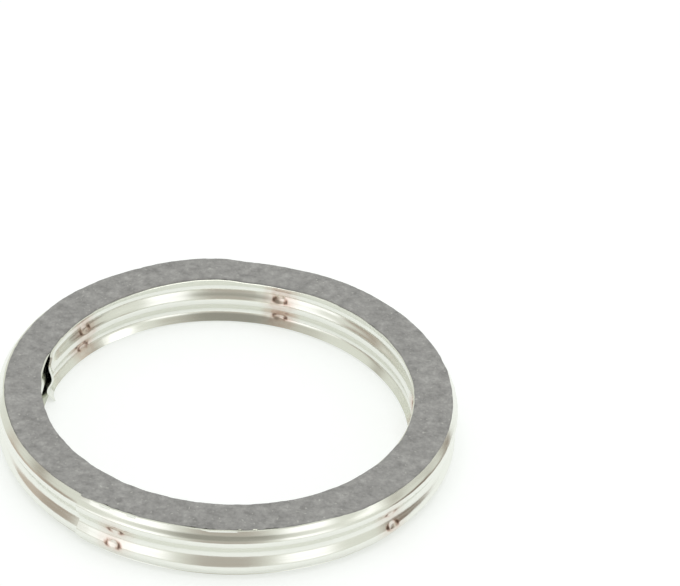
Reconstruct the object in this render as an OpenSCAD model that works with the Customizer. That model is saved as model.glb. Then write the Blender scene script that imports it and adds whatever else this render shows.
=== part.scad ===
// Spiral-wound exhaust gasket: one ribbed stainless strip wound on edge, with graphite wound in
// between its middle turns and pressed flat over the strip's edges. The turns at the bore and at
// the outside lie bare on each other. It rests on its lower face, +Z up, with the origin at the
// middle of that face.

/* [Gasket] */
// Diameter of the bore, between the strip's inner edges
bore_d = 36.2; // [24:0.1:70]
// Thickness over the two graphite faces
gasket_h = 5.3; // [4:0.1:8]

/* [Strip] */
// Thickness of the stainless strip, along the radius
strip_t = 0.2; // [0.15:0.01:0.3]
// How far the strip's two ribs stand out from its edges
rib_depth = 0.56; // [0.3:0.01:0.7]
// Distance of each rib's crest from the strip's edge
rib_h = 1.05; // [0.8:0.05:1.2]
// Gap between bare turns that lie on each other
turn_gap = 0.04; // [0.02:0.01:0.08]

/* [Winding] */
// Bare turns at the bore
inner_turns = 2; // [1:1:4]
// Turns with graphite between them
filled_turns = 4; // [2:1:8]
// Bare turns at the outside, before the last part turn
outer_turns = 1; // [1:1:4]
// Straight run of the strip where one half turn goes over into the next
seam_run = 0.05; // [0.02:0.01:0.2]

/* [Graphite] */
// Thickness of the graphite between two turns
filler_t = 0.54; // [0.3:0.02:1]
// Thickness of the graphite pressed over the strip's edges
face_t = 0.15; // [0.08:0.01:0.3]
// Width of strip edge left bare at the bore and at the outside
rim_w = 0.06; // [0.03:0.01:0.1]
// Clearance between the graphite and the strip
filler_gap = 0.01; // [0.005:0.005:0.02]

/* [Strip ends] */
// Direction in which the inner end leaves the bore wall
tail_az = 162; // [130:1:170]
// Length of the inner end that stands free of the wall
tail_len = 3.3; // [2:0.1:9]
// How far the tip of the inner end stands off the wall
tail_lift = 0.55; // [0.3:0.05:1.2]
// Direction of the outer end
outer_end_az = -122.6; // [-140:0.1:-110]

/* [Hidden] */
$fn = 128;
strip_w = gasket_h - 2 * face_t;
// Steps down each side of the ribbed section, a quarter of them from an edge to a crest
section_steps = 12;
crest_step = section_steps / 4;
bare_pitch = strip_t + turn_gap;
filled_pitch = strip_t + filler_t;
// Half turns are counted from the bore, and the filled ones start and stop at a whole turn
first_filled = 2 * inner_turns;
last_filled = first_filled + 2 * filled_turns;
whole_turns = inner_turns + filled_turns + outer_turns;
winding_sweep = 360 * whole_turns + positive(tail_az - outer_end_az);
last_half = floor(winding_sweep / 180);
last_sweep = winding_sweep - 180 * last_half;
tail_r = 1 / (1 / half_r(0) + 2 * tail_lift / pow(tail_len, 2));
tail_sweep = tail_len / tail_r * 180 / PI;
steel = "#c9c8c0";
graphite = "#959593";

// An angle brought into 0 to 360
function positive(angle) = (angle % 360 + 360) % 360;

function is_filled(k) = k >= first_filled && k < last_filled;

// Growth of the radius from half turn k to the next
function growth(k) = (is_filled(k) ? filled_pitch : bare_pitch) / 2;

// Radius of half turn k at the inner face of the strip's edges
function half_r(k) = k == 0 ? bore_d / 2 : half_r(k - 1) + growth(k - 1);

// Radius of a face's outer border over half turn k
function face_outer_r(k) = half_r(k) + strip_t - rim_w;

// Even half turns lie about the axis, and odd ones about a centre that is one growth to the side,
// so that each runs on smoothly into the next
function centre_x(k) = (k % 2) * growth(k);

// Offset of the ribbed section at a step of the strip's width: two ribs with a groove between
function rib(step) = rib_depth / 2 * (1 - cos(720 * step / section_steps) / cos(360 / section_steps));

// Height of a step above the strip's lower edge
function step_z(step) =
    step > 2 * crest_step ? strip_w - step_z(section_steps - step)
    : step > crest_step ? rib_h + (step / crest_step - 1) * (strip_w / 2 - rib_h)
    : step / crest_step * rib_h;

// One side of the section, with short flats at the edges, on the ribs and in the groove
function section_line(r) = [
    [r, 0],
    for (step = [0.5 : section_steps]) [r + rib(step), step_z(step)],
    [r, strip_w]
];

function backwards(points) = [for (i = [len(points) - 1 : -1 : 0]) points[i]];

// Section of a ribbed band between two radii
module ribbed_band(inner_r, outer_r) {
    polygon(concat(section_line(inner_r), backwards(section_line(outer_r))));
}

// Turns a section about the centre of half turn k, from its start and as far as sweep
module turned(k, sweep = 180) {
    translate([centre_x(k), (k % 2) * seam_run, face_t])
        rotate([0, 0, -180 * k])
            mirror([0, 1, 0])
                rotate_extrude(angle = sweep)
                    children();
}

// Half turns that share a centre, each a band between two offsets from the strip's inner face
module half_turns(halves, inner_t, outer_t) {
    turned(halves[0])
        for (k = halves) ribbed_band(half_r(k) + inner_t, half_r(k) + outer_t);
}

// Draws a section straight along the seam, at +X on side 0 and at -X on side 1
module straight_run(side) {
    translate([0, seam_run, face_t])
        rotate([90, 0, 0])
            linear_extrude(height = seam_run)
                mirror([side, 0])
                    children();
}

// The short straight runs that lead into half turns, which start at +X if even and at -X if odd
module seam_runs(halves, inner_t, outer_t) {
    for (side = [0, 1])
        straight_run(side)
            for (k = halves)
                if (k % 2 == side)
                    ribbed_band(half_r(k) - centre_x(k) + inner_t, half_r(k) - centre_x(k) + outer_t);
}

// The inner end: the strip bends in from the wall about a closer centre
module strip_tail() {
    translate([half_r(0) - tail_r, seam_run, face_t])
        rotate_extrude(angle = tail_sweep)
            ribbed_band(tail_r, tail_r + strip_t);
}

// The strip from its inner to its outer end, starting along +X
module wound_strip() {
    odd_halves = [1 : 2 : last_half - 1];
    strip_tail();
    half_turns([for (k = [0 : 2 : last_half - 1]) k], 0, strip_t);
    half_turns([for (k = odd_halves) if (!is_filled(k)) k], 0, strip_t);
    half_turns([for (k = odd_halves) if (is_filled(k)) k], 0, strip_t);
    turned(last_half, last_sweep)
        ribbed_band(half_r(last_half), half_r(last_half) + strip_t);
    seam_runs([0 : last_half], 0, strip_t);
}

module winding_strip() {
    color(steel)
        rotate([0, 0, tail_az])
            wound_strip();
}

// The graphite between the filled turns, starting along +X
module wound_filler() {
    inner_t = strip_t + filler_gap;
    outer_t = filled_pitch - filler_gap;
    half_turns([for (k = [first_filled : 2 : last_filled - 2]) k], inner_t, outer_t);
    half_turns([for (k = [first_filled + 1 : 2 : last_filled - 2]) k], inner_t, outer_t);
    seam_runs([first_filled + 1 : last_filled - 2], inner_t, outer_t);
}

// Section of both faces between two radii, below and above the strip
module face_bands(inner_r, outer_r) {
    for (z = [-face_t, strip_w])
        translate([inner_r, z])
            square([outer_r - inner_r, face_t]);
}

// Graphite pressed over the strip's edges, from the bore wall to the outermost turn. The second
// half is wider as far as the strip's outer end.
module pressed_faces() {
    seam_inner_r = half_r(0) + rim_w;
    seam_outer_r = face_outer_r(last_half - 1);
    turned(0) face_bands(seam_inner_r, seam_outer_r);
    turned(1) face_bands(half_r(1) + rim_w, face_outer_r(last_half - 2));
    turned(1, last_sweep) face_bands(half_r(1) + rim_w, face_outer_r(last_half));
    straight_run(0) face_bands(seam_inner_r, seam_outer_r);
    straight_run(1) face_bands(seam_inner_r, seam_outer_r);
}

module graphite_filler() {
    color(graphite)
        rotate([0, 0, tail_az]) {
            wound_filler();
            pressed_faces();
        }
}

winding_strip();
graphite_filler();
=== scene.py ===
"""Spiral-wound exhaust gasket: a ribbed stainless strip wound with graphite, on white paper.

The meshes are modelled in millimetres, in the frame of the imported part, and scaled to metres
when they are finished.
"""
import logging
import math
from dataclasses import dataclass, field
from enum import Enum
from typing import Any, Callable

import bmesh
import bpy
from mathutils import Matrix, Vector, noise


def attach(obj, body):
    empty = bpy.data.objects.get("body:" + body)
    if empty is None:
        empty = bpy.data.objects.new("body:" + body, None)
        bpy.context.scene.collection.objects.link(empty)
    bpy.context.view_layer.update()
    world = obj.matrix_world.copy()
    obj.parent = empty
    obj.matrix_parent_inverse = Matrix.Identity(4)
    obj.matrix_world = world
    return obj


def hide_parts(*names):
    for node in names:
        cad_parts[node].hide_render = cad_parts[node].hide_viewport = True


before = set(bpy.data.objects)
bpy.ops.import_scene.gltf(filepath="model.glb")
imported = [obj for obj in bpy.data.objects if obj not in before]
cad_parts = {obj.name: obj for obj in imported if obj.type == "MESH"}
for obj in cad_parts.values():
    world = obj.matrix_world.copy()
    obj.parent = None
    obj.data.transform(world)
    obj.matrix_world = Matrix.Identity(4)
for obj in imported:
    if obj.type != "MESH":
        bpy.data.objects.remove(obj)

LOG = logging.getLogger("exhaust_gasket")
MM = 0.001
BODY = "root"
Point = tuple[float, float]


class Wall(Enum):
    """The two walls that show a bare turn of the strip."""

    BORE = "bore"
    OUTSIDE = "outside"


class Face(Enum):
    """The two sealing faces of the gasket."""

    LOWER = "lower"
    UPPER = "upper"


def linear(code: str) -> tuple[float, float, float, float]:
    """Turns an sRGB hex colour to linear light.

    Args:
        code: Colour such as "#959593".

    Returns:
        Red, green, blue and an alpha of one.
    """
    parts = [int(code[i:i + 2], 16) / 255 for i in (1, 3, 5)]
    red, green, blue = (p / 12.92 if p <= 0.04045 else ((p + 0.055) / 1.055) ** 2.4 for p in parts)
    return (red, green, blue, 1.0)


def add_node(tree: bpy.types.NodeTree, kind: str, settings: dict[Any, Any] | None = None,
             links: dict[Any, bpy.types.NodeSocket] | None = None) -> bpy.types.Node:
    """Adds one node to a tree.

    Args:
        tree: Tree of a material or of the world.
        kind: Blender's name of the node type.
        settings: Values for the node's own properties or for its inputs, by name or number.
        links: Output sockets that feed the node's inputs, by name or number.

    Returns:
        The new node.
    """
    node = tree.nodes.new(kind)
    for key, value in (settings or {}).items():
        if isinstance(key, str) and hasattr(node, key):
            setattr(node, key, value)
        else:
            node.inputs[key].default_value = value
    for key, socket in (links or {}).items():
        tree.links.new(socket, node.inputs[key])
    return node


def fill_ramp(ramp: bpy.types.ColorRamp, stops: list[tuple[float, str]]) -> None:
    """Sets the stops of a colour ramp.

    Args:
        ramp: Ramp with Blender's two first stops.
        stops: Place and sRGB hex colour of each stop, in rising order.
    """
    while len(ramp.elements) < len(stops):
        ramp.elements.new(1.0)
    for element, (place, code) in zip(ramp.elements, stops):
        element.position = place
        element.color = linear(code)


def smooth(value: float, low: float, high: float) -> float:
    """Eases from 0 at low to 1 at high."""
    share = min(max((value - low) / (high - low), 0.0), 1.0)
    return share * share * (3 - 2 * share)


def turned_to(angle: float, middle: float) -> float:
    """Gives an angle in degrees, counted from another one, between -180 and 180."""
    return (angle - middle + 180) % 360 - 180


@dataclass(frozen=True)
class RolledStainless:
    """Bright cold-rolled stainless strip with heat tint at its spot welds."""

    roughness: float = 0.12
    roughness_spread: float = 0.1
    line_spacing: float = 0.16
    line_length: float = 7.0
    tints: tuple[tuple[float, str], ...] = (
        (0.0, "#ebece5"), (0.3, "#dccfc5"), (0.6, "#b59f92"), (0.85, "#7b665a"), (1.0, "#5a4a41"),
    )

    def material(self) -> bpy.types.Material:
        """Makes the material: mirror-like metal with fine lines along the rolling direction.

        Returns:
            The new material.
        """
        material = bpy.data.materials.new("Stainless_steel_cold_rolled_bright")
        material.use_nodes = True
        tree = material.node_tree
        shader = tree.nodes["Principled BSDF"]
        shader.inputs["Metallic"].default_value = 1.0
        # The work rolls leave lines along the strip, which blur reflections a little across them.
        # They are drawn coarser than the real ones so that they show.
        place = add_node(tree, "ShaderNodeTexCoord")
        across = 1 / (self.line_spacing * MM)
        along = 1 / (self.line_length * MM)
        drawn = add_node(tree, "ShaderNodeMapping", {"Scale": (along, along, across)},
                         {"Vector": place.outputs["Object"]})
        lines = add_node(tree, "ShaderNodeTexNoise", {"Scale": 1.0, "Detail": 2.0},
                         {"Vector": drawn.outputs["Vector"]})
        rough = add_node(tree, "ShaderNodeMapRange", {
            "From Min": 0.3, "From Max": 0.7, "To Min": self.roughness,
            "To Max": self.roughness + self.roughness_spread,
        }, {"Value": lines.outputs["Fac"]})
        tree.links.new(rough.outputs["Result"], shader.inputs["Roughness"])
        # Welding heat leaves an oxide film that goes from rose to brown, darkest round the nugget.
        heat = add_node(tree, "ShaderNodeAttribute", {"attribute_name": "weld_heat"})
        tint = add_node(tree, "ShaderNodeValToRGB", links={"Fac": heat.outputs["Fac"]})
        fill_ramp(tint.color_ramp, list(self.tints))
        tree.links.new(tint.outputs["Color"], shader.inputs["Base Color"])
        ripple = add_node(tree, "ShaderNodeBump", {"Strength": 0.08, "Distance": 0.02 * MM},
                          {"Height": lines.outputs["Fac"]})
        tree.links.new(ripple.outputs["Normal"], shader.inputs["Normal"])
        return material


@dataclass(frozen=True)
class PressedGraphite:
    """Expanded graphite pressed to a dull grey face with fine flakes."""

    shades: tuple[tuple[float, str], ...] = (
        (0.32, "#7c7b7c"), (0.46, "#8e8d8e"), (0.55, "#979697"), (0.68, "#a9a8a9"),
    )
    # Painted glint: brighter colour of the flakes that catch the light.
    flake_glint: str = "#bdbdbb"
    grain: float = 0.3
    mottle: float = 0.95
    flake_size: float = 0.26
    roughness: float = 0.7

    def material(self) -> bpy.types.Material:
        """Makes the material: dull grey grains with a few flakes, whose glint is painted in as a brighter
        colour.

        Returns:
            The new material.
        """
        material = bpy.data.materials.new("Expanded_graphite_pressed_matte")
        material.use_nodes = True
        tree = material.node_tree
        shader = tree.nodes["Principled BSDF"]
        shader.inputs["Roughness"].default_value = self.roughness
        place = add_node(tree, "ShaderNodeTexCoord").outputs["Object"]
        grains = add_node(tree, "ShaderNodeTexNoise", {
            "Scale": 1 / (self.grain * MM), "Detail": 3.0, "Roughness": 0.6,
        }, {"Vector": place})
        clouds = add_node(tree, "ShaderNodeTexNoise", {
            "Scale": 1 / (self.mottle * MM), "Detail": 3.0,
        }, {"Vector": place})
        blend = add_node(tree, "ShaderNodeMix", {"data_type": "FLOAT", "Factor": 0.6}, {
            2: grains.outputs["Fac"], 3: clouds.outputs["Fac"],
        })
        shade = add_node(tree, "ShaderNodeValToRGB", links={"Fac": blend.outputs[0]})
        fill_ramp(shade.color_ramp, list(self.shades))
        # Painted glint: single flakes lie flat in the pressed face and catch the light, and that light is
        # painted into the base colour as brighter spots.
        glint_spots = add_node(tree, "ShaderNodeTexNoise", {
            "Scale": 1 / (self.flake_size * MM), "Detail": 0.0,
        }, {"Vector": place})
        glint = add_node(tree, "ShaderNodeMapRange", {
            "From Min": 0.74, "From Max": 0.86, "To Min": 0.0, "To Max": 0.7,
        }, {"Value": glint_spots.outputs["Fac"]})
        colour = add_node(tree, "ShaderNodeMix", {"data_type": "RGBA", 7: linear(self.flake_glint)}, {
            0: glint.outputs["Result"], 6: shade.outputs["Color"],
        })
        tree.links.new(colour.outputs[2], shader.inputs["Base Color"])
        pits = add_node(tree, "ShaderNodeBump", {"Strength": 0.35, "Distance": 0.05 * MM},
                        {"Height": grains.outputs["Fac"]})
        tree.links.new(pits.outputs["Normal"], shader.inputs["Normal"])
        return material


@dataclass(frozen=True)
class WhitePaper:
    """Thin white paper over a light box, under the gasket."""

    colour: str = "#f7f9f4"
    shaded_colour: str = "#babac4"
    glow: str = "#fbfff5"
    backlight: float = 0.56

    def material(self) -> bpy.types.Material:
        """Makes the material: paper that is white to the eye and in the metal, with a pale shadow.

        Returns:
            The new material.
        """
        material = bpy.data.materials.new("White_paper_uncoated")
        material.use_nodes = True
        tree = material.node_tree
        tree.nodes.remove(tree.nodes["Principled BSDF"])
        # Light through the paper fills more than half of the shadow, so only a pale one is seen.
        paper = add_node(tree, "ShaderNodeBsdfDiffuse", {"Color": linear(self.colour)})
        thin = add_node(tree, "ShaderNodeBsdfDiffuse", {"Color": linear(self.shaded_colour)})
        glow = add_node(tree, "ShaderNodeEmission", {
            "Color": linear(self.glow), "Strength": self.backlight,
        })
        lit = add_node(tree, "ShaderNodeAddShader", links={
            0: thin.outputs["BSDF"], 1: glow.outputs["Emission"],
        })
        rays = add_node(tree, "ShaderNodeLightPath")
        seen = rays.outputs["Is Camera Ray"]
        for ray in ("Is Glossy Ray", "Is Transmission Ray"):
            either = add_node(tree, "ShaderNodeMath", {"operation": "MAXIMUM"}, {
                0: seen, 1: rays.outputs[ray],
            })
            seen = either.outputs["Value"]
        both = add_node(tree, "ShaderNodeMixShader", links={
            0: seen, 1: paper.outputs["BSDF"], 2: lit.outputs["Shader"],
        })
        tree.links.new(both.outputs["Shader"], tree.nodes["Material Output"].inputs["Surface"])
        return material


@dataclass(frozen=True)
class Arc:
    """One stretch of the winding about one centre."""

    centre_x: float
    sweep: float
    steps: int


@dataclass
class Spiral:
    """Path of the wound strip: half turns about two centres, counted from the bore."""

    bore_d: float = 36.2
    gasket_h: float = 5.3
    strip_t: float = 0.2
    rib_depth: float = 0.56
    rib_h: float = 1.05
    edge_curl: float = 0.09
    turn_gap: float = 0.04
    inner_turns: int = 2
    filled_turns: int = 4
    outer_turns: int = 1
    filler_t: float = 0.54
    face_t: float = 0.15
    tail_az: float = 162.0
    tail_len: float = 3.3
    tail_lift: float = 0.55
    outer_end_az: float = -122.6
    right_rise: float = 0.11
    back_dip: float = 0.05
    back_rise: float = 0.25

    @property
    def strip_w(self) -> float:
        """Width of the strip, between the two graphite faces."""
        return self.gasket_h - 2 * self.face_t

    @property
    def first_filled(self) -> int:
        """First half turn with graphite on it."""
        return 2 * self.inner_turns

    @property
    def last_filled(self) -> int:
        """Half turn after the last one with graphite on it."""
        return self.first_filled + 2 * self.filled_turns

    @property
    def sweep(self) -> float:
        """Wound angle of the whole strip, in degrees, without its free inner end."""
        turns = self.inner_turns + self.filled_turns + self.outer_turns
        return 360 * turns + (self.tail_az - self.outer_end_az) % 360

    @property
    def last_half(self) -> int:
        """The half turn in which the strip ends."""
        return int(self.sweep // 180)

    @property
    def tail_r(self) -> float:
        """Radius of the free inner end."""
        return 1 / (2 / self.bore_d + 2 * self.tail_lift / self.tail_len ** 2)

    @property
    def tail_sweep(self) -> float:
        """Angle of the free inner end about its own centre, in degrees."""
        return math.degrees(self.tail_len / self.tail_r)

    def growth(self, half: int) -> float:
        """Growth of the radius from one half turn to the next."""
        filled = self.first_filled <= half < self.last_filled
        return (self.strip_t + (self.filler_t if filled else self.turn_gap)) / 2

    def __post_init__(self) -> None:
        """Works out the radius of each half turn once."""
        self.radii = [self.bore_d / 2]
        for half in range(self.last_half + 1):
            self.radii.append(self.radii[-1] + self.growth(half))

    def half_r(self, half: int) -> float:
        """Radius of a half turn at the inner face of the strip's edges."""
        return self.radii[half]

    def centre_x(self, half: int) -> float:
        """Place of a half turn's centre, towards the strip's start."""
        return self.growth(half) if half % 2 else 0.0

    def rib(self, height: float) -> float:
        """Works out how far the ribbed section stands out from the strip's edges.

        Args:
            height: Height above the strip's lower edge.

        Returns:
            The offset along the radius, in millimetres.
        """
        middle = self.strip_w / 2
        from_edge = middle - abs(height - middle)
        if from_edge > self.rib_h:
            share = (from_edge - self.rib_h) / (middle - self.rib_h)
            return self.rib_depth / 2 * (1 + math.cos(math.pi * share))
        # The flank next to the edge is straight as far as a share of the way and then rounds into
        # the crest. The slope and the bend make the two run into each other.
        straight = 0.6
        slope = 2 / (1 + straight)
        bend = slope / (2 * (1 - straight))
        share = from_edge / self.rib_h
        rise = slope * share if share < straight else 1 - bend * (1 - share) ** 2
        return (self.rib_depth + self.edge_curl) * rise - self.edge_curl

    def wound_angle(self, azimuth: float, wall: Wall) -> float:
        """Wound angle at which the strip shows at a wall.

        Args:
            azimuth: Direction from the axis, in degrees.
            wall: Bore or outside.

        Returns:
            Degrees from the strip's start.
        """
        angle = (self.tail_az - azimuth) % 360
        if wall is Wall.BORE:
            return angle
        return angle + 360 * math.floor((self.sweep - angle) / 360)

    def wall_r(self, azimuth: float, wall: Wall) -> float:
        """Distance from the axis to the inner face of the strip's edges at a wall.

        Args:
            azimuth: Direction from the axis, in degrees.
            wall: Bore or outside.

        Returns:
            The distance in millimetres.
        """
        angle = self.wound_angle(azimuth, wall)
        half = int(angle // 180)
        return self.half_r(half) + self.centre_x(half) * math.cos(math.radians(angle))

    def half_arcs(self, half: int, step: float,
                  fine: list[tuple[float, float, float]]) -> list[Arc]:
        """Cuts a half turn into stretches, with finer steps where the strip is welded.

        Args:
            half: Number of the half turn.
            step: Usual step in degrees.
            fine: First and last wound angle of each fine stretch, and its step.

        Returns:
            The stretches in winding order.
        """
        start = 180.0 * half
        stop = min(start + 180, self.sweep)
        marks = {start, stop}
        for first, last, _ in fine:
            marks |= {min(max(first, start), stop), min(max(last, start), stop)}
        cuts = sorted(marks)
        arcs = []
        for low, high in zip(cuts, cuts[1:]):
            middle = (low + high) / 2
            size = min([step] + [s for first, last, s in fine if first < middle < last])
            arcs.append(Arc(self.centre_x(half), high - low, max(1, round((high - low) / size))))
        return arcs

    def bare_front(self, azimuth: float) -> float:
        """Gives how far the outermost turn's edge comes through the upper face, from 0 to 1.

        Args:
            azimuth: Direction from the axis, in degrees.

        Returns:
            1 along the front, from the strip's outer end on, and 0 elsewhere.
        """
        return smooth(azimuth, -124, -116) * (1 - smooth(azimuth, -64, -50))

    def uneven(self, azimuth: float) -> float:
        """Gives the height of the upper face above its plane, where the turns have slipped.

        Args:
            azimuth: Direction from the axis, in degrees.

        Returns:
            The height in millimetres, below zero in the dip.
        """
        right = smooth(azimuth, -5, 20) * (1 - smooth(azimuth, 60, 76))
        low = smooth(azimuth, 70, 78) * (1 - smooth(azimuth, 87, 93))
        high = smooth(azimuth, 90, 98) * (1 - smooth(azimuth, 103, 132))
        return self.right_rise * right - self.back_dip * low + self.back_rise * high


def section_loop(bm: bmesh.types.BMesh, points: list[Point]) -> list[bmesh.types.BMEdge]:
    """Draws a closed section in the plane of the strip's start.

    Args:
        bm: Mesh that gets the section.
        points: Radius and height of each corner.

    Returns:
        The edges of the section.
    """
    verts = [bm.verts.new((radius, 0.0, height)) for radius, height in points]
    return [bm.edges.new(pair) for pair in zip(verts, verts[1:] + verts[:1])]


def wind(bm: bmesh.types.BMesh, edges: list[bmesh.types.BMEdge],
         arcs: list[Arc]) -> list[bmesh.types.BMEdge]:
    """Winds a section clockwise along a row of arcs.

    Args:
        bm: Mesh that holds the section.
        edges: Edges of the section at the start.
        arcs: Stretches in winding order.

    Returns:
        The edges of the section at the end.
    """
    for arc in arcs:
        spun = bmesh.ops.spin(bm, geom=edges, cent=(arc.centre_x, 0, 0), axis=(0, 0, -1),
                              angle=math.radians(arc.sweep), steps=arc.steps)
        edges = [item for item in spun["geom_last"] if isinstance(item, bmesh.types.BMEdge)]
    return edges


def finish_piece(bm: bmesh.types.BMesh, name: str, material: bpy.types.Material, node: str) -> bpy.types.Object:
    """Turns a mesh in millimetres to a piece of the gasket.

    Args:
        bm: Mesh in millimetres, in the frame of the part.
        name: Name of the piece.
        material: Its finish.
        node: CAD node that the piece stands for.

    Returns:
        The piece.
    """
    bmesh.ops.remove_doubles(bm, verts=bm.verts, dist=0.0005)
    bmesh.ops.recalc_face_normals(bm, faces=bm.faces)
    bmesh.ops.scale(bm, vec=(MM, MM, MM), verts=bm.verts)
    mesh = bpy.data.meshes.new(name)
    bm.to_mesh(mesh)
    bm.free()
    mesh.materials.append(material)
    mesh.shade_smooth()
    mesh.set_sharp_from_angle(angle=math.radians(50))
    piece = bpy.data.objects.new(name, mesh)
    bpy.context.scene.collection.objects.link(piece)
    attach(piece, BODY)
    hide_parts(node)
    LOG.info("%s: %d faces", name, len(mesh.polygons))
    return piece


@dataclass
class SpotWelds:
    """Spot welds that hold the bare turns, in pairs one above the other."""

    azimuths: dict[Wall, tuple[float, ...]] = field(default_factory=lambda: {
        Wall.BORE: (148.0, 78.0, 6.0, -67.0, -139.5),
        Wall.OUTSIDE: (-112.6, -41.6, 30.0, 102.5, 174.0),
    })
    heights: dict[Wall, tuple[float, ...]] = field(default_factory=lambda: {
        Wall.BORE: (1.0, 3.2), Wall.OUTSIDE: (1.5, 2.85),
    })
    tint: dict[Wall, float] = field(default_factory=lambda: {Wall.BORE: 0.4, Wall.OUTSIDE: 0.2})
    half_len: float = 0.7
    half_h: float = 0.42
    depth: float = 0.08
    heat_reach: float = 2.6


@dataclass
class StripWinding:
    """The ribbed stainless strip, from its free inner end to its outer end."""

    spiral: Spiral
    welds: SpotWelds
    finish: RolledStainless
    side_steps: int = 44
    edge_round: float = 0.04
    shown_step: float = 4.0
    hidden_step: float = 9.0
    fine_step: float = 0.2
    fine_reach: float = 2.7
    wave: float = 0.03
    wave_len: float = 5.0
    wave_h: float = 2.2
    twist: float = 0.24
    stretch: float = 0.45
    slant: float = 0.15
    flattened: float = 0.7
    bare_lift: float = 0.15
    bare_ragged: float = 0.06

    def side(self, radius: float) -> list[Point]:
        """One side of the section, from the lower edge to the upper edge.

        Args:
            radius: Radius of that side at the edges.

        Returns:
            Radius and height of each point, above the strip's lower edge.
        """
        spiral = self.spiral
        low, high = self.edge_round, spiral.strip_w - self.edge_round
        heights = [low + (high - low) * i / self.side_steps for i in range(self.side_steps + 1)]
        return [(radius + spiral.rib(height), height) for height in heights]

    def section(self, radius: float) -> list[Point]:
        """The strip's closed section with its edges eased.

        Args:
            radius: Radius of the inner side at the edges.

        Returns:
            Radius and height of each corner, above the floor.
        """
        spiral = self.spiral
        ease, far = self.edge_round, radius + spiral.strip_t
        upper = [(radius + ease, spiral.strip_w), (far - ease, spiral.strip_w)]
        lower = [(far - ease, 0.0), (radius + ease, 0.0)]
        loop = self.side(radius) + upper + self.side(far)[::-1] + lower
        return [(r, height + spiral.face_t) for r, height in loop]

    def fine_stretches(self) -> list[tuple[float, float, float]]:
        """Finds the welded stretches, which are wound in finer steps.

        Returns:
            First and last wound angle of each stretch, and the step there, in degrees.
        """
        stretches = []
        for wall in Wall:
            for azimuth in self.welds.azimuths[wall]:
                middle = self.spiral.wound_angle(azimuth, wall)
                degrees = math.degrees(1 / self.spiral.wall_r(azimuth, wall))
                reach = self.fine_reach * degrees
                stretches.append((middle - reach, middle + reach, self.fine_step * degrees))
        return stretches

    def spring_tail(self, bm: bmesh.types.BMesh, centre_x: float) -> None:
        """Twists the free inner end, so that its upper edge stays nearer to the wall.

        Args:
            bm: The free end alone, in the frame of the strip's start.
            centre_x: Place of its own centre.
        """
        spiral = self.spiral
        for vert in bm.verts:
            turn = math.atan2(vert.co.y, vert.co.x - centre_x)
            share = math.degrees(turn) / spiral.tail_sweep
            level = (vert.co.z - spiral.gasket_h / 2) / (spiral.strip_w / 2)
            # It hugs the wall at first and springs off towards the tip.
            vert.co.x += spiral.tail_lift * (share ** 2 - share ** 4)
            vert.co.x += self.twist * level * share ** 4
            vert.co.y += (self.stretch - self.slant * level) * share
            if level > 0:
                # The upper rib was pressed flatter where the strip was cut off.
                vert.co.x -= self.flattened * spiral.rib(vert.co.z - spiral.face_t) * share ** 2

    def waver(self, bm: bmesh.types.BMesh) -> None:
        """Lets the bare turns wave a little, as wound strip does.

        Args:
            bm: The wound strip, turned to its place.
        """
        spiral = self.spiral
        inner, outer = spiral.half_r(0), spiral.half_r(spiral.last_half)
        for vert in bm.verts:
            radius = math.hypot(vert.co.x, vert.co.y)
            bare = 1 - smooth(radius, inner + 0.8, inner + 1.6) + smooth(radius, outer - 0.8, outer)
            if bare > 0:
                direction = Vector((vert.co.x / radius, vert.co.y / radius, 0.0))
                place = direction * (inner if radius < inner + 1.6 else outer) / self.wave_len
                place.z = vert.co.z / self.wave_h
                vert.co += direction * self.wave * bare * noise.noise(place)

    def press_welds(self, bm: bmesh.types.BMesh) -> None:
        """Presses the weld dimples into the two walls and marks their heat.

        Args:
            bm: The wound strip, turned to its place.
        """
        spiral, welds = self.spiral, self.welds
        heat = bm.verts.layers.float.new("weld_heat")
        shown_r = (spiral.half_r(0) + spiral.half_r(spiral.last_half)) / 2
        reach_az = math.degrees(2 * self.fine_reach / spiral.bore_d)
        for vert in bm.verts:
            radius = math.hypot(vert.co.x, vert.co.y)
            wall = Wall.BORE if radius < shown_r else Wall.OUTSIDE
            azimuth = math.degrees(math.atan2(vert.co.y, vert.co.x))
            near = [weld_az for weld_az in welds.azimuths[wall]
                    if abs(turned_to(azimuth, weld_az)) < reach_az]
            if not near:
                continue
            height = vert.co.z - spiral.face_t
            skin = spiral.wall_r(azimuth, wall) + spiral.rib(height)
            skin += spiral.strip_t if wall is Wall.OUTSIDE else 0
            if abs(radius - skin) > spiral.strip_t / 2:
                continue
            along = math.radians(turned_to(azimuth, near[0])) * radius
            for weld_h in welds.heights[wall]:
                rise = height - weld_h
                reach = math.hypot(along / welds.half_len, rise / welds.half_h)
                dent = welds.depth * (1 - smooth(reach, 0.35, 1.0))
                direction = Vector((vert.co.x, vert.co.y, 0)).normalized()
                vert.co += direction * (dent if wall is Wall.BORE else -dent)
                # The film is darkest at the two ends of the nugget.
                ends = (along / welds.half_len / max(reach, 0.01)) ** 2
                ring = smooth(reach, 0.5, 0.85) * (1 - smooth(reach, 1.0, 1.45))
                ring *= 0.25 + 0.75 * ends
                away = math.hypot(along, rise * 1.3)
                spread = welds.tint[wall] * (1 - smooth(away, 0.4, welds.heat_reach))
                patchy = 0.85 + 0.5 * noise.noise(Vector((along * 2.1, rise * 2.6, near[0])))
                vert[heat] = max(vert[heat], min(1.0, patchy * max(ring, spread)))

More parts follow.
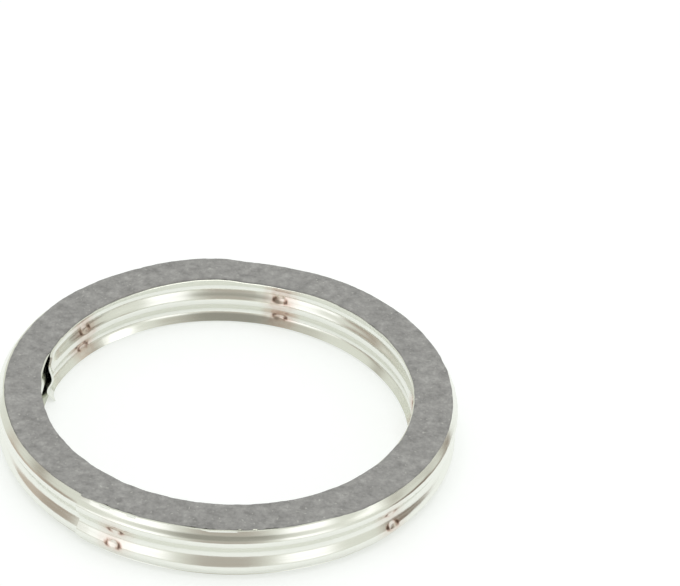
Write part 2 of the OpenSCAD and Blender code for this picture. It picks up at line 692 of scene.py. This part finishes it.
    def lift_edges(self, bm: bmesh.types.BMesh) -> None:
        """Follows the slipped turns of the upper face with the strip's upper edges.

        Args:
            bm: The wound strip, turned to its place.
        """
        spiral = self.spiral
        top = spiral.gasket_h
        for vert in bm.verts:
            if vert.co.z < top - 1.1:
                continue
            azimuth = math.degrees(math.atan2(vert.co.y, vert.co.x))
            rise = spiral.uneven(azimuth)
            edge_r = math.hypot(vert.co.x, vert.co.y) - spiral.rib(vert.co.z - spiral.face_t)
            first = spiral.wall_r(azimuth, Wall.BORE) + 1.5 * spiral.strip_t
            last = spiral.wall_r(azimuth, Wall.OUTSIDE) - spiral.strip_t / 2
            if first < edge_r < last:
                # The covered turns are wound in long steps, so they stay below the face.
                near = [spiral.uneven(azimuth + turn)
                        for turn in (-self.hidden_step, self.hidden_step)]
                rise = min(rise, 0.0, *near)
            elif edge_r >= last:
                # Only the edge itself comes through, and its flank stays as it is.
                worn = self.bare_lift + self.bare_ragged * noise.noise(vert.co * 1.3)
                at_edge = smooth(vert.co.z, top - 0.45, top - 0.17)
                vert.co.z += worn * spiral.bare_front(azimuth) * at_edge
            vert.co.z += rise * smooth(vert.co.z, top - 1.1, top - 0.2)

    def build(self) -> bpy.types.Object:
        """Winds the strip, welds it and dresses it.

        Returns:
            The finished piece.
        """
        spiral = self.spiral
        bm = bmesh.new()
        start = section_loop(bm, self.section(spiral.half_r(0)))
        tail_centre = spiral.half_r(0) - spiral.tail_r
        bmesh.ops.rotate(bm, verts=bm.verts, cent=(tail_centre, 0, 0),
                         matrix=Matrix.Rotation(math.radians(spiral.tail_sweep), 3, "Z"))
        bmesh.ops.contextual_create(bm, geom=start)
        fine = self.fine_stretches()
        tail_steps = round(spiral.tail_len / self.fine_step)
        start = wind(bm, start, [Arc(tail_centre, spiral.tail_sweep, tail_steps)])
        self.spring_tail(bm, tail_centre)
        arcs = []
        for half in range(spiral.last_half + 1):
            shown = half < 2 or half > spiral.last_half - 3
            arcs += spiral.half_arcs(half, self.shown_step if shown else self.hidden_step, fine)
        end = wind(bm, start, arcs)
        bmesh.ops.contextual_create(bm, geom=end)
        bmesh.ops.triangulate(bm, faces=[face for face in bm.faces if len(face.verts) > 4])
        bmesh.ops.rotate(bm, verts=bm.verts, cent=(0, 0, 0),
                         matrix=Matrix.Rotation(math.radians(spiral.tail_az), 3, "Z"))
        self.press_welds(bm)
        self.lift_edges(bm)
        self.waver(bm)
        return finish_piece(bm, "stainless_winding", self.finish.material(), "winding_strip")


@dataclass
class GraphiteFiller:
    """Graphite between the middle turns, with the faces pressed over the strip's edges."""

    spiral: Spiral
    finish: PressedGraphite
    clearance: float = 0.01
    sheet_steps: int = 24
    sheet_step: float = 9.0
    sheet_ease: float = 0.2
    rim: float = 0.05
    lower_rim: float = 0.35
    flush: float = 0.14
    ragged: float = 0.07
    front_worn: float = 0.15
    front_crumbled: float = 0.35
    left_worn: float = 0.16
    end_worn: float = 0.2
    relief: float = 0.022
    face_rows: int = 22
    face_steps: int = 600
    edge_round: float = 0.05

    def sheet_section(self, radius: float) -> list[Point]:
        """Section of the graphite between two turns.

        Args:
            radius: Radius of the strip's inner side at its edges.

        Returns:
            Radius and height of each corner, above the floor.
        """
        spiral = self.spiral
        low, high = self.sheet_ease, spiral.strip_w - self.sheet_ease
        heights = [low + (high - low) * i / self.sheet_steps for i in range(self.sheet_steps + 1)]
        near = radius + spiral.strip_t + self.clearance
        far = radius + spiral.strip_t + spiral.filler_t - self.clearance
        inner = [(near + spiral.rib(h), h + spiral.face_t) for h in heights]
        outer = [(far + spiral.rib(h), h + spiral.face_t) for h in reversed(heights)]
        return inner + outer

    def wind_sheet(self, bm: bmesh.types.BMesh) -> None:
        """Winds the graphite sheet between the filled turns.

        Args:
            bm: Mesh of the filler.
        """
        spiral = self.spiral
        start = section_loop(bm, self.sheet_section(spiral.half_r(spiral.first_filled)))
        ends = [start]
        arcs = []
        for half in range(spiral.first_filled, spiral.last_filled - 1):
            arcs += spiral.half_arcs(half, self.sheet_step, [])
        ends.append(wind(bm, start, arcs))
        for end in ends:
            bmesh.ops.contextual_create(bm, geom=end)
        bmesh.ops.triangulate(bm, faces=[face for face in bm.faces if len(face.verts) > 4])
        bmesh.ops.rotate(bm, verts=bm.verts, cent=(0, 0, 0),
                         matrix=Matrix.Rotation(math.radians(spiral.tail_az), 3, "Z"))

    def border(self, azimuth: float, wall: Wall) -> float:
        """Radius of a face's ragged border.

        Args:
            azimuth: Direction from the axis, in degrees.
            wall: Border at the bore or at the outside.

        Returns:
            The radius in millimetres.
        """
        spiral = self.spiral
        turn = math.radians(azimuth)
        around = Vector((math.cos(turn), math.sin(turn), 0.0)) * spiral.bore_d / 2
        shift = Vector((0, 0, 7.0 if wall is Wall.BORE else 23.0))
        crumbs = noise.noise(around * 0.55 + shift) + 0.6 * noise.noise(around * 1.9 + shift)
        edge = spiral.wall_r(azimuth, wall)
        if wall is Wall.OUTSIDE:
            # The strip's edge shows through at the front, and as a thin line on the left.
            front = spiral.bare_front(azimuth)
            left = 1 - smooth(abs(turned_to(azimuth, 180)), 18, 38)
            chips = max(noise.noise(around * 1.5 - shift), 0.0)
            worn = self.front_worn + self.front_crumbled * chips
            thin = worn * front + self.left_worn * left
            return edge + spiral.strip_t - self.rim - thin + self.ragged * min(crumbs, 0.6)
        # At the bore it is worn back behind the strip's free end.
        free_end = smooth(azimuth % 360, 169, 174) * (1 - smooth(azimuth % 360, 180, 186))
        kept = min(edge + self.rim, spiral.half_r(0) + self.flush)
        return kept + self.end_worn * free_end + self.ragged * max(crumbs, -0.6)

    def press_face(self, bm: bmesh.types.BMesh, face: Face) -> None:
        """Presses one sealing face over the strip's edges.

        Args:
            bm: Mesh of the filler.
            face: Which face.
        """
        spiral = self.spiral
        base = spiral.gasket_h - spiral.face_t
        rows = [i / self.face_rows for i in range(self.face_rows + 1)]
        # The section is drawn one unit wide and one high, and each ring is then set to its size.
        skin = [(1 + row, 1.0) for row in rows]
        loop = [(1.0, 0.0), (1.0, 0.6)] + skin + [(2.0, 0.6), (2.0, 0.0)]
        start = section_loop(bm, loop)
        before = set(bm.verts) - {vert for edge in start for vert in edge.verts}
        bmesh.ops.spin(bm, geom=start, cent=(0, 0, 0), axis=(0, 0, 1), angle=2 * math.pi,
                       steps=self.face_steps, use_merge=True)
        for vert in bm.verts:
            if vert in before:
                continue
            share = math.hypot(vert.co.x, vert.co.y) - 1
            azimuth = math.degrees(math.atan2(vert.co.y, vert.co.x))
            inner, outer = self.border(azimuth, Wall.BORE), self.border(azimuth, Wall.OUTSIDE)
            if face is Face.LOWER:
                inner, outer = inner + self.lower_rim, outer - self.lower_rim
            skin_level = vert.co.z > 0.8
            inset = self.edge_round if skin_level else 0.0
            radius = inner + inset + (outer - inner - 2 * inset) * share
            turn = math.radians(azimuth)
            place = Vector((radius * math.cos(turn), radius * math.sin(turn), 0.0))
            height = vert.co.z * spiral.face_t
            if skin_level:
                dents = noise.noise(place * 2.3) + 0.7 * noise.noise(place * 0.6)
                height -= self.relief * (0.6 + dents)
            if face is Face.LOWER:
                place.z = spiral.face_t - height
            else:
                place.z = base + height + spiral.uneven(azimuth)
            vert.co = place

    def build(self) -> bpy.types.Object:
        """Winds the sheet, presses the faces and dresses them.

        Returns:
            The finished piece.
        """
        bm = bmesh.new()
        self.wind_sheet(bm)
        for face in Face:
            self.press_face(bm, face)
        return finish_piece(bm, "graphite_filling", self.finish.material(), "graphite_filler")


@dataclass(frozen=True)
class RoomThing:
    """Something in the room that the bright strip mirrors: where it stands and its colour."""

    name: str
    azimuth: float
    half_width: float
    low: float
    high: float
    colour: str
    level: float = 1.0
    edge: float = 5.0


@dataclass
class Studio:
    """White paper, soft light from all round and the camera."""

    paper: WhitePaper
    paper_low: Point = (-50.0, -60.0)
    paper_high: Point = (80.0, 140.0)
    lens: float = 118.27
    sensor: float = 36.0
    eye: tuple[float, float, float] = (10.01, -175.18, 136.01)
    right: tuple[float, float, float] = (0.9965, 0.0473, 0.0697)
    forward: tuple[float, float, float] = (0.0, 0.8275, -0.5615)
    world_level: float = 0.9
    lamp_power: float = 1.4
    lamp_size: float = 0.5
    lamp_height: float = 0.7
    walls: str = "#f3f5ec"
    room: tuple[RoomThing, ...] = (
        RoomThing("high_shelf", -92, 54, 34, 75, "#cdcabf", edge=6),
        RoomThing("dark_curtain", -85, 26, 24, 60, "#a4a299", edge=11),
        RoomThing("table_front", -84, 16, -12, 24, "#c6bfb6", edge=7),
        RoomThing("left_window", -124, 14, 4, 27, "#ffffff", 1.5),
        RoomThing("left_blind", -143, 8, 4, 18, "#ffffff", 1.4),
        RoomThing("right_window", -47, 12, 4, 27, "#ffffff", 1.5),
        RoomThing("left_cupboard", -168, 13, -12, 15, "#baada1"),
        RoomThing("left_bench", 172, 14, -12, 6, "#d3c5b8"),
        RoomThing("right_cupboard", 6, 14, -12, 9, "#8f8276", edge=4),
        RoomThing("right_bench", 28, 14, -12, 3, "#a2968a", edge=4),
        RoomThing("hanging_lamp", -14, 7, 23, 36, "#ffffff", 2.0),
        RoomThing("left_frame", 178, 6, 13.5, 20, "#aba397"),
        RoomThing("right_frame", 1, 6, 17.5, 25, "#aba397"),
    )

    def lay_paper(self) -> bpy.types.Object:
        """Lays the paper that the gasket rests on.

        Returns:
            The paper.
        """
        bm = bmesh.new()
        low, high = Vector(self.paper_low) * MM, Vector(self.paper_high) * MM
        middle, reach = (low + high) / 2, (high - low) / 2
        placed = Matrix.Translation(middle.to_3d()) @ Matrix.Diagonal((*reach, 1.0, 1.0))
        bmesh.ops.create_grid(bm, x_segments=1, y_segments=1, size=1.0, matrix=placed)
        mesh = bpy.data.meshes.new("paper")
        bm.to_mesh(mesh)
        bm.free()
        mesh.materials.append(self.paper.material())
        paper = bpy.data.objects.new("paper", mesh)
        bpy.context.scene.collection.objects.link(paper)
        return paper

    def stand_thing(self, tree: bpy.types.NodeTree, thing: RoomThing, turn: bpy.types.NodeSocket,
                    rise: bpy.types.NodeSocket,
                    behind: bpy.types.NodeSocket) -> bpy.types.NodeSocket:
        """Puts one thing before the room's walls.

        Args:
            tree: Tree of the world.
            thing: What stands there.
            turn: Direction of the ray round the room, in radians.
            rise: Its height above the horizon, in radians.
            behind: Colour of what is behind the thing.

        Returns:
            Colour of the room with the thing in it.
        """
        away = add_node(tree, "ShaderNodeMath", {
            "operation": "SUBTRACT", 1: math.radians(thing.azimuth),
        }, {0: turn})
        near = add_node(tree, "ShaderNodeMath", {"operation": "WRAP", 1: math.pi, 2: -math.pi},
                        {0: away.outputs["Value"]})
        aside = add_node(tree, "ShaderNodeMath", {"operation": "ABSOLUTE"},
                         {0: near.outputs["Value"]})
        shares = []
        for value, start, stop in (
            (aside.outputs["Value"], thing.half_width + thing.edge, thing.half_width - thing.edge),
            (rise, thing.low - thing.edge / 2, thing.low + thing.edge / 2),
            (rise, thing.high + thing.edge / 2, thing.high - thing.edge / 2),
        ):
            share = add_node(tree, "ShaderNodeMapRange", {
                "interpolation_type": "SMOOTHSTEP", "From Min": math.radians(start),
                "From Max": math.radians(stop),
            }, {"Value": value})
            shares.append(share.outputs["Result"])
        inside = shares[0]
        for share in shares[1:]:
            within = add_node(tree, "ShaderNodeMath", {"operation": "MULTIPLY"},
                              {0: inside, 1: share})
            inside = within.outputs["Value"]
        colour = Vector(linear(thing.colour)[:3]) * thing.level
        shown = add_node(tree, "ShaderNodeMix", {"data_type": "RGBA", 7: (*colour, 1.0)},
                         {0: inside, 6: behind})
        return shown.outputs[2]

    def light(self) -> None:
        """Sets the room that the bright strip mirrors, and one soft lamp above."""
        world = bpy.data.worlds.new("white_room")
        bpy.context.scene.world = world
        world.use_nodes = True
        tree = world.node_tree
        tree.nodes.clear()
        place = add_node(tree, "ShaderNodeTexCoord")
        parts = add_node(tree, "ShaderNodeSeparateXYZ", links={0: place.outputs["Generated"]})
        turn = add_node(tree, "ShaderNodeMath", {"operation": "ARCTAN2"},
                        {0: parts.outputs["Y"], 1: parts.outputs["X"]})
        rise = add_node(tree, "ShaderNodeMath", {"operation": "ARCSINE"}, {0: parts.outputs["Z"]})
        seen = add_node(tree, "ShaderNodeRGB")
        seen.outputs["Color"].default_value = linear(self.walls)
        colour = seen.outputs["Color"]
        for thing in self.room:
            colour = self.stand_thing(tree, thing, turn.outputs["Value"], rise.outputs["Value"],
                                      colour)
        lit = add_node(tree, "ShaderNodeBackground", {"Strength": self.world_level},
                       {"Color": colour})
        # The strip mirrors the room, and only the eye sees plain white past the paper.
        white = add_node(tree, "ShaderNodeBackground",
                         {"Color": linear("#ffffff"), "Strength": 1.0})
        rays = add_node(tree, "ShaderNodeLightPath")
        shown = add_node(tree, "ShaderNodeMixShader", links={
            0: rays.outputs["Is Camera Ray"], 1: lit.outputs["Background"],
            2: white.outputs["Background"],
        })
        add_node(tree, "ShaderNodeOutputWorld", links={"Surface": shown.outputs["Shader"]})
        lamp = bpy.data.lights.new("soft_lamp", "AREA")
        lamp.energy = self.lamp_power
        lamp.size = self.lamp_size
        holder = bpy.data.objects.new("soft_lamp", lamp)
        holder.location = (0.0, 0.0, self.lamp_height)
        bpy.context.scene.collection.objects.link(holder)

    def set_camera(self) -> None:
        """Sets the camera at the photograph's place, turned and rolled as it was."""
        right, forward = Vector(self.right).normalized(), Vector(self.forward).normalized()
        up = right.cross(forward)
        camera = bpy.data.cameras.new("camera")
        camera.lens = self.lens
        camera.sensor_width = self.sensor
        camera.sensor_fit = "HORIZONTAL"
        camera.clip_start = 0.01
        holder = bpy.data.objects.new("camera", camera)
        turned = Matrix((right, up, -forward)).transposed().to_4x4()
        holder.matrix_world = Matrix.Translation(Vector(self.eye) * MM) @ turned
        bpy.context.scene.collection.objects.link(holder)
        bpy.context.scene.camera = holder


def main() -> None:
    """Builds the studio and the two pieces of the gasket in order."""
    logging.basicConfig(level=logging.INFO, format="%(name)s %(message)s")
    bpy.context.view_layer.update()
    bpy.context.scene.view_settings.view_transform = "Standard"
    studio = Studio(WhitePaper())
    studio.set_camera()
    studio.lay_paper()
    studio.light()
    spiral = Spiral()
    builders: list[Callable[[], bpy.types.Object]] = [
        StripWinding(spiral, SpotWelds(), RolledStainless()).build,
        GraphiteFiller(spiral, PressedGraphite()).build,
    ]
    for build in builders:
        piece = build()
        LOG.info("built %s", piece.name)


if __name__ == "__main__":
    main()
